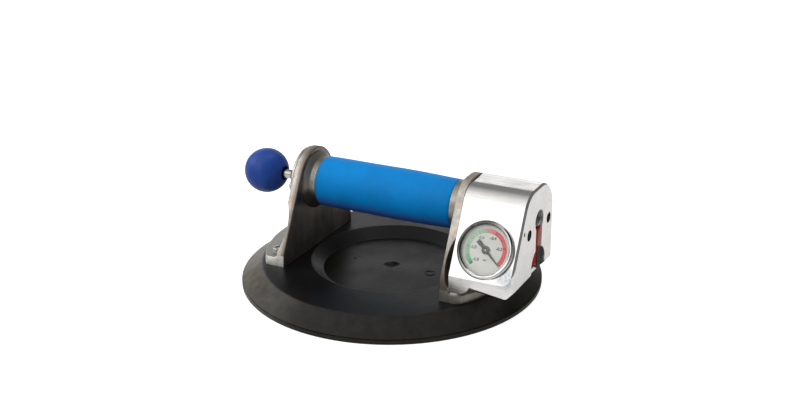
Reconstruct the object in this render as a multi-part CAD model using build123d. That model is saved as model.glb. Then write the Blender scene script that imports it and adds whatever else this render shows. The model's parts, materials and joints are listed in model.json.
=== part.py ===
# Hand-pumped vacuum lifter: a rubber suction disc carries two steel brackets and a tubular handle.
# The handle is the pump. Its rod leaves on the left, and the valve block with the gauge is on the right.
# Frame: origin at the centre of the disc's sealing face, +X along the handle to the block, +Z up.
import os
from math import acos, asin, atan2, cos, degrees, hypot, pi, radians, sin, sqrt, tan

from build123d import *

# Suction disc, millimetres
disc_radius = 105.0
disc_height = 13.7
plateau_radius = 90.7
lip_height = 3.2
lip_groove = 0.5
lip_groove_depth = 0.8
disc_edge_round = 1.5
recess_rim_radius = 56.7
recess_floor_radius = 48.1
recess_depth = 6.5
dimple_radius = 6.3
dimple_depth = 1.6
mould_mark_offset = 29.6
mould_mark_radius = 3.7
mould_mark_line = 0.5
mould_mark_height = 0.3
pip_radius = 1.1
cavity_depth = 2.2
cavity_radius = 97.0
centre_pad_radius = 9.0
rib_count = 3
rib_pitch = 22.0
rib_width = 5.0
air_groove_width = 5.0

# Steel plate moulded into the disc
plate_radius = 88.0
plate_gauge = 3.0
plate_skin = 1.2
plate_hole_radius = 10.0
boss_radius = 6.0
mould_gap = 0.05
contact_gap = 0.3

# Brackets
axis_height = 62.4
bracket_inside = 58.9
bracket_thickness = 6.0
head_radius = 23.4
knee_half = 47.6
knee_height = 23.5
knee_blend = 6.0
foot_half = 48.5
foot_reach = 23.1
foot_arc_radius = 88.0
left_foot_corner = 1.2
right_foot_corner = 9.0
bend_radius = 2.0
bracket_edge_round = 0.9
shoulder_offset = 26.5
shoulder_round = 17.0
front_blend = 10.0
relief_depth = 4.0
relief_top = 55.0
relief_start = 28.0

# Foot screws
foot_screw_offset = 5.8
foot_screw_y = 36.6
foot_screw_radius = 2.0
foot_screw_depth = 11.7
foot_head_radius = 3.6
foot_head_height = 2.6

# Handle tube, collars, grip and pump cylinder
tube_radius = 15.0
tube_wall = 2.0
collar_radius = 16.9
weld_radius = 20.3
weld_length = 3.6
left_collar_length = 7.7
right_collar_length = 7.8
grip_end_radius = 16.9
grip_belly_radius = 17.5
grip_end_round = 0.8
grip_clearance = 0.3
cylinder_radius = 12.5
cylinder_wall = 1.5
gasket_thickness = 1.0
seat_clearance = 0.1

# End cover, its gasket and screws
cover_thickness = 2.0
cover_gasket_thickness = 0.5
cover_inset = 0.8
cover_half = 26.2
cover_drop = 16.4
cover_corner = 6.0
cover_screw_y = 17.9
cover_screw_drop = 0.4
cover_screw_radius = 2.0
cover_head_radius = 3.3
cover_head_height = 2.2
cover_vent_radius = 1.0
cover_vent_rise = 8.0

# Pump rod, guide, seal and buffer
rod_radius = 3.25
rod_thread_radius = 2.5
running_clearance = 0.05
guide_flats = 10.6
guide_hex_length = 10.3
guide_spigot_radius = 5.0
guide_spigot_length = 6.0
rod_seal_radius = 4.45
rod_seal_length = 3.0
buffer_length = 4.0
stroke_margin = 0.3

# Piston
piston_length = 14.0
piston_end_gap = 0.5
piston_clearance = 0.08
piston_rod_socket = 3.0
cup_width = 4.8
cup_groove_radius = 8.0
cup_lip = 0.9
cup_front_offset = 4.5
piston_nut_flats = 9.5
piston_nut_height = 4.0
piston_counterbore_radius = 6.2
piston_counterbore_depth = 5.0
rod_tip_margin = 0.5

# Ball knob
knob_radius = 16.0
knob_offset = 22.8
knob_bore_radius = 5.2
insert_depth = 20.0
insert_length = 13.0
insert_floor = 1.0

# Valve block
block_length = 43.6
block_rear = 25.0
block_top_rise = 22.1
block_front = 46.4
block_rear_round = 21.0
block_brow_round = 17.0
slant_angle = 27.5
slant_offset = 27.1
block_belly = 3.3
block_end_chamfer = 3.6
block_corner_round = 7.0
block_edge_length = 1.5
block_edge_drop = 1.0
toe_length = 4.4
toe_round = 11.0
toe_corner = bend_radius + contact_gap
skirt_cut_start = 6.0
skirt_cut_left = 4.4
skirt_cut_end = 39.5
skirt_cut_right = 0.1

# Block screws and the gauge's set screw
block_screw_y = 17.3
block_screw_drop = 5.6
block_screw_radius = 2.0
block_screw_head_radius = 3.5
block_screw_head_height = 4.0
block_screw_depth = 6.5
socket_flats = 3.0
set_screw_y = 25.9
set_screw_drop = 1.7
set_screw_radius = 1.3
set_screw_sink = 0.4

# Air ways in the block
nipple_offset = -0.45
nipple_radius = 4.0
nipple_bore = 2.0
nipple_top_rise = 9.3
nipple_seal_wall = 2.5
channel_radius = 2.1
cross_channel_radius = 1.5
plug_length = 3.5

# Check valve on the handle axis
check_bore_radius = 5.0
check_depth = 11.6
check_seat_thickness = 2.5
check_port_radius = 1.6
check_ball_radius = 2.4
check_lift = 1.2
check_retainer_inset = 0.3
check_retainer_thickness = 1.8
check_vent_radius = 0.9
check_spring_wire = 0.4
check_spring_radius = 1.5
check_spring_turns = 3

# Release lever, its slot and its pin
hole_radius = 7.3
hole_depth = 12.7
hole_drop = 1.3
pin_radius = 0.9
pin_depth = 1.8
pin_drop = 3.9
pin_grip = 2.5
slot_half = 5.4
slot_depth_upper = 11.7
slot_depth_lower = 15.7
slot_step_drop = 17.4
scoop_radius = 12.3
scoop_drop = 32.4
scoop_depth = 3.8
filter_thickness = 1.0
slot_floor_rise = 3.0
filter_slot_half = 5.8
lever_half = 4.4
lever_thickness = 3.0
lever_set_back = 5.5
knuckle_radius = 1.7
knuckle_half = 2.0
lever_foot_rise = 6.0
pad_half = 5.0
pad_thickness = 2.0
pad_foot_rise = 4.5
pad_top_drop = 3.7
pad_kick = 1.7
pad_kick_height = 4.0
pad_lean = 1.0
pad_round = 0.5
pad_foot_round = 2.5

# Release valve
vent_drop = 11.9
vent_bore_radius = 4.0
vent_chamber_depth = 10.4
vent_seat_length = 4.0
vent_stem_radius = 1.5
vent_guide_radius = 2.15
vent_flange_radius = 3.5
vent_flange_thickness = 1.5
vent_seal_thickness = 1.5
vent_tail_length = 4.9
vent_guide_length = 4.6
vent_flute_radius = 0.8
vent_spring_wire = 0.6
vent_spring_radius = 2.6
vent_spring_turns = 5

# Gauge on the slanted face
bezel_radius = 19.1
bezel_height = 3.2
bezel_outer_round = 1.4
bezel_inner_round = 1.1
view_radius = 16.3
case_radius = 18.3
case_wall = 1.0
case_floor = 1.2
case_ledge = 1.1
case_clearance = 0.1
pocket_depth = 10.5
case_rise = 1.0
window_thickness = 1.0
gauge_slide = 27.8
gauge_turn = 5.0
dial_thickness = 0.5
dial_sink = 0.4
dial_hole_radius = 1.0
needle_length = 13.9
needle_tail = 8.3
needle_thickness = 0.4
needle_hub_radius = 2.7
needle_hub_height = 0.8
needle_root_half = 0.9
needle_tip_half = 0.25
needle_tail_half = 1.4
needle_lift = 0.3
needle_start = -45.0
needle_sweep = 270.0
spindle_radius = 0.5
pinion_teeth = 12
pinion_pitch_radius = 1.4
sector_ratio = 6
sector_thickness = 1.0
sector_hub_radius = 1.6
sector_tail = 3.0
sector_tail_radius = 0.9
sector_sink = 5.2
sector_teeth_before = 1
sector_teeth_after = 10
pinion_overhang = 0.2
tooth_share = 0.32
addendum_share = 0.8
dedendum_share = 1.0
sector_pin_radius = 0.6
link_thickness = 0.5
link_gap = 0.3
link_pin_radius = 0.4
link_half = 0.6
tube_mid_radius = 13.0
tube_strip = 1.0
tube_height = 2.8
tube_tip_angle = -60.0
tube_root_angle = -120.0
pillar_radius = 1.6
socket_radius = 4.9
socket_length = 8.0
socket_neck_radius = 3.0
socket_base_thickness = 1.0
movement_thickness = 0.8
movement_half = 2.2

# Places worked out from the sizes above
bracket_outside = bracket_inside + bracket_thickness
foot_top = disc_height + bracket_thickness
floor_height = disc_height - recess_depth
plate_bottom = cavity_depth + plate_skin
plate_top = plate_bottom + plate_gauge
foot_screw_x = bracket_outside + foot_screw_offset
foot_tip = bracket_outside + foot_reach
cylinder_bore = cylinder_radius - cylinder_wall
cover_inner = -bracket_outside - cover_gasket_thickness
cover_outer = cover_inner - cover_thickness
guide_outer = cover_outer - guide_hex_length
guide_inner = cover_outer + guide_spigot_length
rod_bore = rod_radius + running_clearance
buffer_front = guide_inner + buffer_length
piston_front = bracket_outside - piston_end_gap
piston_rear = piston_front - piston_length
rod_shoulder = piston_rear + piston_rod_socket
nut_seat = piston_front - piston_counterbore_depth
pump_stroke = piston_rear - buffer_front - stroke_margin
knob_x = guide_outer - knob_offset
insert_inner = knob_x + knob_radius - insert_depth
insert_face = insert_inner + insert_length
block_end = bracket_outside + block_length
block_top = axis_height + block_top_rise
block_bottom = foot_top + block_belly
nipple_top = foot_top + nipple_top_rise
check_end = bracket_outside + check_depth
check_seat_face = check_end - check_seat_thickness
pin_x = block_end - pin_depth
pin_height = axis_height - pin_drop
hole_height = axis_height - hole_drop
vent_height = axis_height - vent_drop
slot_back = block_end - slot_depth_upper
slot_back_lower = block_end - slot_depth_lower
scoop_height = axis_height - scoop_drop
vent_seat_face = slot_back - vent_seat_length
vent_end = vent_seat_face - vent_chamber_depth
nipple_x = (check_end + vent_end) / 2 + nipple_offset
slant = radians(slant_angle)
gauge_x = bracket_outside + block_length / 2
gauge_y = -slant_offset * cos(slant) - gauge_slide * sin(slant)
gauge_z = axis_height + slant_offset * sin(slant) - gauge_slide * cos(slant)
cross_height = gauge_z + gauge_y * tan(slant)
set_screw_height = axis_height - set_screw_drop
block_screw_height = axis_height - block_screw_drop
block_screw_seat = block_end - block_screw_depth - block_screw_head_height
cover_screw_height = axis_height - cover_screw_drop
lever_back = pin_x - lever_set_back
vent_tip = lever_back - contact_gap
vent_seal_back = vent_seat_face - seat_clearance - vent_seal_thickness
vent_flange_back = vent_seal_back - vent_flange_thickness
check_ball_x = check_seat_face - sqrt(check_ball_radius**2 - check_port_radius**2) - running_clearance
retainer_face = bracket_outside + check_retainer_inset + check_retainer_thickness
foot_screw_places = [(x, y) for x in (-foot_screw_x, foot_screw_x) for y in (-foot_screw_y, foot_screw_y)]

# Heights and places inside the gauge, measured from the slanted face along its normal
case_bottom = -pocket_depth
case_inside = case_bottom + case_floor
dial_top = -dial_sink
dial_bottom = dial_top - dial_thickness
needle_bottom = dial_top + needle_lift
base_top = case_inside + socket_base_thickness
movement_top = base_top + movement_thickness
sector_top = -sector_sink
sector_bottom = sector_top - sector_thickness
tooth_module = 2 * pinion_pitch_radius / pinion_teeth
tooth_step = 360 / pinion_teeth / sector_ratio
sector_pitch_radius = pinion_pitch_radius * sector_ratio
sector_pivot = (0, -sector_pitch_radius - pinion_pitch_radius)
tail_angle = radians(-90 + needle_sweep / sector_ratio / 2)
tail_end = (sector_tail * cos(tail_angle), sector_pivot[1] + sector_tail * sin(tail_angle))
tube_tip = (tube_mid_radius * cos(radians(tube_tip_angle)), tube_mid_radius * sin(radians(tube_tip_angle)))
tube_root = (tube_mid_radius * cos(radians(tube_root_angle)), tube_mid_radius * sin(radians(tube_root_angle)))
gauge_plane = Plane(
    origin=(gauge_x, gauge_y, gauge_z), x_dir=(1, 0, 0), z_dir=(0, -cos(slant), sin(slant))
)
gauge_place = gauge_plane.location * Location((0, 0, 0), (0, 0, gauge_turn))

from_base = (Align.CENTER, Align.CENTER, Align.MIN)
far = 4 * disc_radius


def rod_x(radius, start, end, y=0.0, z=axis_height):
    # A round bar along X.
    return Pos(start, y, z) * Rot(0, 90, 0) * Cylinder(radius, end - start, align=from_base)


def rod_y(radius, start, end, x, z):
    # A round bar along Y.
    return Pos(x, start, z) * Rot(-90, 0, 0) * Cylinder(radius, end - start, align=from_base)


def rod_z(radius, low, high, x=0.0, y=0.0):
    # A round bar along Z.
    return Pos(x, y, low) * Cylinder(radius, high - low, align=from_base)


def ring_x(outer, inner, start, end):
    # A round tube on the handle axis.
    return rod_x(outer, start, end) - rod_x(inner, start, end)


def spun_x(points):
    # A turned piece on the handle axis, from (x, radius) corners.
    corners = [(x, 0, axis_height + radius) for x, radius in points]
    return revolve(make_face(Polyline(*corners, close=True)), Axis((0, 0, axis_height), (1, 0, 0)))


def spun_z(points):
    # A turned piece about Z, from (radius, z) corners.
    corners = [(radius, 0, z) for radius, z in points]
    return revolve(make_face(Polyline(*corners, close=True)), Axis.Z)


def hex_x(flats, start, end, y=0.0, z=axis_height):
    # A hexagon bar along X with one pair of flats upright.
    section = RegularPolygon(flats / 2, 6, major_radius=False)
    return Pos(start, y, z) * Rot(0, 90, 0) * extrude(section, amount=end - start)


def box_between(low, high):
    # A box between two corners.
    size = [b - a for a, b in zip(low, high)]
    return Pos(*low) * Box(*size, align=(Align.MIN, Align.MIN, Align.MIN))


def slab_x(face, start, end):
    # An outline drawn as (y, z) and drawn out along X.
    return Pos(start, 0, 0) * extrude(Plane.YZ * face, amount=end - start, dir=(1, 0, 0))


def strap(start, end, half, low, high):
    # A flat bar with round ends between two points.
    length = hypot(end[0] - start[0], end[1] - start[1])
    angle = degrees(atan2(end[1] - start[1], end[0] - start[0]))
    bar = extrude(SlotCenterToCenter(length, 2 * half), amount=high - low)
    return Pos((start[0] + end[0]) / 2, (start[1] + end[1]) / 2, low) * Rot(0, 0, angle) * bar


def coil_x(radius, wire, turns, start, end, z):
    # A round-wire spring along X whose wire lies between start and end.
    height = end - start - wire
    path = Helix(pitch=height / turns, height=height, radius=radius)
    section = Plane(origin=path @ 0, z_dir=path % 0) * Circle(wire / 2)
    print("spring gap between turns", round(height / turns - wire, 2))
    return Pos(start + wire / 2, 0, z) * Rot(0, 90, 0) * sweep(section, path=path, is_frenet=True)


def pan_head(radius, height):
    # A pan head on the plane z = 0 with a crossed recess.
    dome = rod_z(radius, 0, height)
    dome = fillet(dome.edges().group_by(Axis.Z)[-1], 0.45 * height)
    blade = Box(1.3 * radius, 0.28 * radius, height, align=from_base)
    return dome - Pos(0, 0, 0.45 * height) * (blade + Rot(0, 0, 90) * blade)


def suction_disc():
    groove_top = lip_height + lip_groove
    groove_radius = disc_radius - lip_groove_depth
    body = spun_z([
        (0, 0), (disc_radius - lip_groove, 0), (disc_radius, lip_groove), (disc_radius, lip_height),
        (groove_radius, lip_height), (groove_radius, groove_top), (disc_radius - lip_groove, groove_top),
        (plateau_radius, disc_height), (recess_rim_radius, disc_height),
        (recess_floor_radius, floor_height), (0, floor_height),
    ])
    rims = [e for e in body.edges().filter_by(GeomType.CIRCLE) if e.center().Z > floor_height - mould_gap]
    body = fillet(rims, disc_edge_round)
    dish = (dimple_radius**2 + dimple_depth**2) / (2 * dimple_depth)
    body -= Pos(0, 0, floor_height + dish - dimple_depth) * Sphere(dish)
    mark_top = floor_height + mould_mark_height
    body += rod_z(pip_radius, floor_height, mark_top, -mould_mark_offset)
    mark = rod_z(mould_mark_radius, floor_height, mark_top, mould_mark_offset)
    body += mark - rod_z(mould_mark_radius - mould_mark_line, floor_height, mark_top, mould_mark_offset)
    cavity = rod_z(cavity_radius, 0, cavity_depth) - rod_z(centre_pad_radius, 0, cavity_depth)
    for i in range(rib_count):
        inner = rib_pitch * (i + 1) - rib_width / 2
        cavity -= rod_z(inner + rib_width, 0, cavity_depth) - rod_z(inner, 0, cavity_depth)
    half = air_groove_width / 2
    cavity += box_between((centre_pad_radius, -half, 0), (cavity_radius - rib_width, half, cavity_depth))
    body -= cavity
    pocket = rod_z(plate_radius + mould_gap, plate_bottom, plate_top)
    body -= pocket - rod_z(plate_hole_radius, plate_bottom, plate_top)
    for x, y in foot_screw_places:
        body -= rod_z(boss_radius + mould_gap, plate_top, disc_height, x, y)
    return body - rod_z(nipple_radius + mould_gap, 0, disc_height, nipple_x)


def backing_plate():
    body = rod_z(plate_radius, plate_bottom, plate_top)
    body -= rod_z(plate_hole_radius + mould_gap, plate_bottom, plate_top)
    for x, y in foot_screw_places:
        body += rod_z(boss_radius, plate_top, disc_height, x, y)
        body -= rod_z(foot_screw_radius + mould_gap, plate_bottom, disc_height, x, y)
    return body - rod_z(nipple_radius + seat_clearance, plate_bottom, plate_top, nipple_x)


def left_outline():
    # A round head with straight flanks that run off it as tangents to the foot, as (y, z).
    drop = axis_height - knee_height
    lean = atan2(knee_half, drop) - asin(head_radius / hypot(knee_half, drop))
    shoulder = (head_radius * cos(lean), axis_height + head_radius * sin(lean))
    flank = [shoulder, (knee_half, knee_height), (foot_half, disc_height)]
    front = [(-y, z) for y, z in reversed(flank)]
    path = FilletPolyline(*flank, *front, radius=[knee_blend, 0, 0, knee_blend])
    head = ThreePointArc(front[-1], (0, axis_height + head_radius), shoulder)
    return make_face(path.edges() + [head])


def right_outline():
    # The same plate, filled out in front along the block's flat top and slanted face.
    top = axis_height + head_radius
    brow = (sin(slant) * head_radius - shoulder_offset) / cos(slant)
    knee = axis_height + (shoulder_offset - cos(slant) * knee_half) / sin(slant)
    front = FilletPolyline(
        (0, top), (brow, top), (-knee_half, knee), (-foot_half, disc_height), (0, disc_height),
        radius=[0, shoulder_round, front_blend, 0, 0], close=True,
    )
    return left_outline() + make_face(front.edges())


def edge_relief():
    # The scallops in a bracket's outer face that leave room for a driver above the foot screws.
    lip = bracket_outside + bend_radius / 2
    low = foot_top + bend_radius
    deepest = (bracket_outside - relief_depth, (relief_top + low) / 2)
    curve = ThreePointArc((bracket_outside, relief_top), deepest, (lip, low))
    edge = Polyline((lip, low), (lip, relief_top), (bracket_outside, relief_top))
    scallop = extrude(Plane.XZ * make_face(curve.edges() + edge.edges()), amount=far, both=True)
    return scallop - box_between((0, -relief_start, 0), (far, relief_start, far))


def bracket(outline, corner):
    # A bent plate on the right side: an angle section trimmed to the outline and to the foot's arc.
    top = axis_height + 2 * head_radius
    angle = FilletPolyline(
        (bracket_inside, disc_height), (foot_tip, disc_height), (foot_tip, foot_top),
        (bracket_outside, foot_top), (bracket_outside, top), (bracket_inside, top),
        radius=[0, 0, 0, bend_radius, 0, 0], close=True,
    )
    body = extrude(Plane.XZ * make_face(angle.edges()), amount=foot_half, both=True)
    body &= slab_x(outline, 0, foot_tip)
    body &= rod_z(foot_arc_radius, 0, top, foot_tip - foot_arc_radius)
    bend_end = bracket_outside + 2 * bend_radius
    ends = [e for e in body.edges() if e.center().X > bend_end and abs(e.center().Y) > foot_screw_y]
    body = fillet([e for e in ends if e.bounding_box().size.Z > mould_gap], corner)
    crowns = [e for e in body.edges() if e.bounding_box().size.X < mould_gap and e.center().Z > axis_height]
    body = fillet(crowns, bracket_edge_round)
    body -= edge_relief()
    body -= rod_x(cylinder_radius + seat_clearance, 0, far)
    for y in (-foot_screw_y, foot_screw_y):
        body -= rod_z(foot_screw_radius + seat_clearance, disc_height, foot_top, foot_screw_x, y)
    return body


def left_bracket():
    body = mirror(bracket(left_outline(), left_foot_corner), about=Plane.YZ)
    for y in (-cover_screw_y, cover_screw_y):
        thread = cover_screw_radius + mould_gap
        body -= rod_x(thread, -bracket_outside, -bracket_inside, y, cover_screw_height)
    return body


def right_bracket():
    body = bracket(right_outline(), right_foot_corner)
    for y in (-block_screw_y, block_screw_y):
        thread = block_screw_radius + mould_gap
        body -= rod_x(thread, bracket_inside, bracket_outside, y, block_screw_height)
    return body - rod_z(nipple_radius + seat_clearance, disc_height, foot_top, nipple_x)


def weld_collar(length, side):
    # A ring round the tube's end with a weld bead against the bracket.
    inner = tube_radius + mould_gap
    face = side * bracket_inside
    return spun_x([
        (face, inner), (face, weld_radius), (face - side * 0.3 * weld_length, weld_radius),
        (face - side * weld_length, collar_radius), (face - side * length, collar_radius),
        (face - side * length, inner),
    ])


def grip_sleeve():
    left = -bracket_inside + left_collar_length + grip_clearance
    right = bracket_inside - right_collar_length - grip_clearance
    low = axis_height + tube_radius + mould_gap
    side = axis_height + grip_end_radius
    crown = ((left + right) / 2, 0, axis_height + grip_belly_radius)
    belly = ThreePointArc((left, 0, side), crown, (right, 0, side))
    sides = Polyline((right, 0, side), (right, 0, low), (left, 0, low), (left, 0, side))
    body = revolve(make_face(sides.edges() + [belly]), Axis((0, 0, axis_height), (1, 0, 0)))
    rims = [e for e in body.edges().filter_by(GeomType.CIRCLE) if e.radius > grip_end_radius - mould_gap]
    return fillet(rims, grip_end_round)


def cover_outline():
    # The end cover's outline, set in from the left bracket's head.
    radius = head_radius - cover_inset
    low = axis_height - cover_drop
    sides = [(radius, axis_height), (cover_half, low), (-cover_half, low), (-radius, axis_height)]
    path = FilletPolyline(*sides, radius=[cover_corner, cover_corner])
    head = ThreePointArc((-radius, axis_height), (0, axis_height + radius), (radius, axis_height))
    return make_face(path.edges() + [head])


def cover_plate(start, end, hole):
    body = slab_x(cover_outline(), start, end) - rod_x(hole, start, end)
    for y in (-cover_screw_y, cover_screw_y):
        body -= rod_x(cover_screw_radius + seat_clearance, start, end, y, cover_screw_height)
    return body


def end_cover():
    body = cover_plate(cover_outer, cover_inner, guide_spigot_radius + mould_gap)
    body = chamfer(body.faces().sort_by(Axis.X)[0].outer_wire().edges(), 0.3 * cover_thickness)
    return body - rod_x(cover_vent_radius, cover_outer, cover_inner, 0, axis_height + cover_vent_rise)


def cover_screws():
    tip = -bracket_inside - contact_gap
    screws = []
    for y in (-cover_screw_y, cover_screw_y):
        head = Rot(0, -90, 0) * pan_head(cover_head_radius, cover_head_height)
        shank = rod_x(cover_screw_radius, cover_outer, tip, y, cover_screw_height)
        screws.append(Pos(cover_outer, y, cover_screw_height) * head + shank)
    return Compound(children=screws)


def foot_screws():
    screws = []
    for x, y in foot_screw_places:
        head = Pos(x, y, foot_top) * pan_head(foot_head_radius, foot_head_height)
        screws.append(head + rod_z(foot_screw_radius, foot_top - foot_screw_depth, foot_top, x, y))
    return Compound(children=screws)


def cylinder_gaskets():
    left = ring_x(cylinder_radius, cylinder_bore, cover_inner, gasket_thickness - bracket_outside)
    right = ring_x(cylinder_radius, cylinder_bore, bracket_outside - gasket_thickness, bracket_outside)
    return Compound(children=[left, right])


def rod_guide():
    body = hex_x(guide_flats, guide_outer, cover_outer)
    corner = 0.6 * guide_flats
    body &= spun_x([
        (guide_outer, 0), (guide_outer, 0.5 * guide_flats), (guide_outer + 0.1 * guide_flats, corner),
        (cover_outer, corner), (cover_outer, 0),
    ])
    body += rod_x(guide_spigot_radius, cover_outer, guide_inner)
    body -= rod_x(rod_seal_radius + mould_gap, guide_inner - rod_seal_length, guide_inner)
    return body - rod_x(rod_bore, guide_outer, guide_inner)


def pump_rod():
    body = rod_x(rod_radius, insert_face, rod_shoulder)
    body += rod_x(rod_thread_radius, insert_inner + insert_floor, insert_face)
    return body + rod_x(rod_thread_radius, rod_shoulder, piston_front - rod_tip_margin)


def piston():
    groove_front = piston_front - cup_front_offset
    body = rod_x(cylinder_bore - piston_clearance, piston_rear, piston_front)
    body -= ring_x(cylinder_radius, cup_groove_radius, groove_front - cup_width, groove_front)
    body -= rod_x(piston_counterbore_radius, nut_seat, piston_front)
    body -= rod_x(rod_thread_radius + mould_gap, piston_rear, piston_front)
    return body - rod_x(rod_bore, piston_rear, rod_shoulder)


def piston_cup():
    # A lip ring whose open side faces the rod.
    front = piston_front - cup_front_offset
    back = front - cup_width
    heel = front - 0.4 * cup_width
    outer = cylinder_bore - running_clearance
    inner = cup_groove_radius + mould_gap
    return spun_x([
        (front, inner), (front, outer - cup_lip), (heel, outer), (back, outer), (back, outer - cup_lip),
        (heel, (inner + outer) / 2), (back, inner + cup_lip), (back, inner),
    ])


def piston_nut():
    body = hex_x(piston_nut_flats, nut_seat, nut_seat + piston_nut_height)
    return body - rod_x(rod_thread_radius + mould_gap, nut_seat, nut_seat + piston_nut_height)


def ball_knob():
    body = Pos(knob_x, 0, axis_height) * Sphere(knob_radius)
    return body - rod_x(knob_bore_radius, insert_inner, knob_x + 2 * knob_radius)


def knob_insert():
    body = rod_x(knob_bore_radius - mould_gap, insert_inner, insert_face)
    return body - rod_x(rod_thread_radius + mould_gap, insert_inner + insert_floor, insert_face)


def block_side():
    # The block seen along the handle, as (y, z).
    brow = (sin(slant) * block_top_rise - slant_offset) / cos(slant)
    chin = axis_height + (slant_offset - cos(slant) * block_front) / sin(slant)
    path = FilletPolyline(
        (block_rear, 0), (block_rear, block_top), (brow, block_top), (-block_front, chin), (-block_front, 0),
        radius=[0, block_rear_round, block_brow_round, 0, 0], close=True,
    )
    return make_face(path.edges())


def block_elevation():
    # The block seen from the front, as (x, z): a toe on the foot, a raised belly and a cut-off end.
    toe_end = bracket_outside + toe_length
    full = acos(1 - block_belly / toe_round)
    rise = [(toe_end + toe_round * sin(t), foot_top + toe_round * (1 - cos(t))) for t in (0, full / 2, full)]
    top = block_top + block_belly
    toe = FilletPolyline((bracket_outside, top), (bracket_outside, foot_top), rise[0], radius=toe_corner)
    belly = Polyline(
        rise[2], (block_end - block_end_chamfer, block_bottom), (block_end, block_bottom + block_end_chamfer),
        (block_end, top), (bracket_outside, top),
    )
    return make_face(toe.edges() + [ThreePointArc(*rise)] + belly.edges())


def skirt_wedge():
    # The flat cut under the front edge, which starts at the toe's round and narrows towards the lever end.
    slope = (skirt_cut_left - skirt_cut_right) / (skirt_cut_end - skirt_cut_start)
    start = (bracket_outside + skirt_cut_start, -block_front, block_bottom + skirt_cut_left)
    size = 6 * skirt_cut_left
    wedge = Box(block_length, size, size, align=(Align.MIN, Align.CENTER, Align.MIN))
    wedge = Plane(origin=start, x_dir=(1, 0, -slope), z_dir=(-slope, -1, -1)) * wedge
    return wedge - rod_y(toe_round, -far, 0, bracket_outside + toe_length, foot_top + toe_round)


def block_body():
    side = block_side()
    edge_start = block_end - block_edge_length
    body = slab_x(side, bracket_outside, edge_start)
    taper = degrees(atan2(block_edge_drop, block_edge_length))
    body += Pos(edge_start, 0, 0) * extrude(Plane.YZ * side, amount=block_edge_length, taper=taper)
    body &= extrude(Plane.XZ * block_elevation(), amount=2 * block_front, both=True)
    plan = FilletPolyline(
        (bracket_outside, -block_front), (block_end, -block_front), (block_end, block_front),
        (bracket_outside, block_front), radius=[0, block_corner_round, 0, 0], close=True,
    )
    body &= extrude(make_face(plan.edges()), amount=2 * block_top)
    return body - skirt_wedge()


def lever_slot():
    # The round hole, the lever's slot below it and the finger scoop at its foot.
    scoop_floor = block_end - scoop_depth
    slot_floor = block_bottom + slot_floor_rise
    step = axis_height - slot_step_drop
    slot = rod_x(hole_radius, block_end - hole_depth, far, 0, hole_height)
    slot += box_between((slot_back, -slot_half, slot_floor), (far, slot_half, pin_height))
    slot += box_between((slot_back_lower, -slot_half, slot_floor), (far, slot_half, step))
    slot += rod_x(scoop_radius, scoop_floor, far, 0, scoop_height)
    return slot + box_between((scoop_floor, -scoop_radius, 0), (far, scoop_radius, scoop_height))


def valve_block():
    body = block_body() - lever_slot()
    for y in (-block_screw_y, block_screw_y):
        body -= rod_x(block_screw_radius + seat_clearance, bracket_outside, block_end, y, block_screw_height)
        head = block_screw_head_radius + 2 * seat_clearance
        body -= rod_x(head, block_screw_seat, block_end, y, block_screw_height)
    body -= rod_x(check_bore_radius + mould_gap, bracket_outside, check_end)
    body -= rod_x(check_port_radius, check_end, nipple_x)
    body -= rod_z(channel_radius, nipple_top, axis_height + channel_radius, nipple_x)
    body -= rod_z(nipple_radius + mould_gap, 0, nipple_top, nipple_x)
    body -= rod_z(nipple_radius + nipple_seal_wall + mould_gap, 0, block_bottom, nipple_x)
    body -= rod_x(cross_channel_radius, nipple_x, slot_back_lower, 0, cross_height)
    body -= rod_x(cross_channel_radius, nipple_x, vent_end, 0, vent_height)
    body -= rod_x(vent_bore_radius + mould_gap, vent_end, slot_back, 0, vent_height)
    body -= rod_y(pin_radius + mould_gap, -hole_radius - pin_grip, block_rear, pin_x, pin_height)
    body -= rod_x(set_screw_radius + mould_gap, gauge_x, block_end, -set_screw_y, set_screw_height)
    pocket = rod_z(case_radius + case_clearance, case_bottom, case_radius)
    pocket += rod_z(socket_radius + mould_gap, case_bottom - socket_length, 0)
    pocket += rod_z(cross_channel_radius, gauge_y / cos(slant), 0)
    body -= gauge_place * pocket
    head_room = foot_head_radius + contact_gap
    return body - rod_z(head_room, 0, foot_top + foot_head_height + contact_gap, foot_screw_x, -foot_screw_y)


def block_screws():
    head_end = block_screw_seat + block_screw_head_height
    screws = []
    for y in (-block_screw_y, block_screw_y):
        screw = rod_x(block_screw_head_radius, block_screw_seat, head_end, y, block_screw_height)
        screw -= hex_x(socket_flats, block_screw_seat + socket_flats / 2, head_end, y, block_screw_height)
        tip = bracket_inside + contact_gap
        screws.append(screw + rod_x(block_screw_radius, tip, block_screw_seat, y, block_screw_height))
    return Compound(children=screws)


def gauge_set_screw():
    along = (set_screw_height - gauge_z) * cos(slant) - (set_screw_y + gauge_y) * sin(slant)
    tip = gauge_x + sqrt(case_radius**2 - (along - set_screw_radius)**2) + seat_clearance
    end = block_end - set_screw_sink
    half = 0.25 * set_screw_radius
    low = (end - set_screw_radius, -set_screw_y - set_screw_radius, set_screw_height - half)
    high = (end, -set_screw_y + set_screw_radius, set_screw_height + half)
    return rod_x(set_screw_radius, tip, end, -set_screw_y, set_screw_height) - box_between(low, high)


def check_valve_seat():
    body = rod_x(check_bore_radius, check_seat_face, check_end)
    return body - rod_x(check_port_radius, check_seat_face, check_end)


def check_valve_retainer():
    start = bracket_outside + check_retainer_inset
    body = rod_x(check_bore_radius, start, retainer_face)
    ring = (check_bore_radius + check_spring_radius) / 2
    for quarter in range(4):
        turn = radians(90 * quarter + 45)
        y = ring * cos(turn)
        body -= rod_x(check_vent_radius, start, retainer_face, y, axis_height + ring * sin(turn))
    return body


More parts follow.
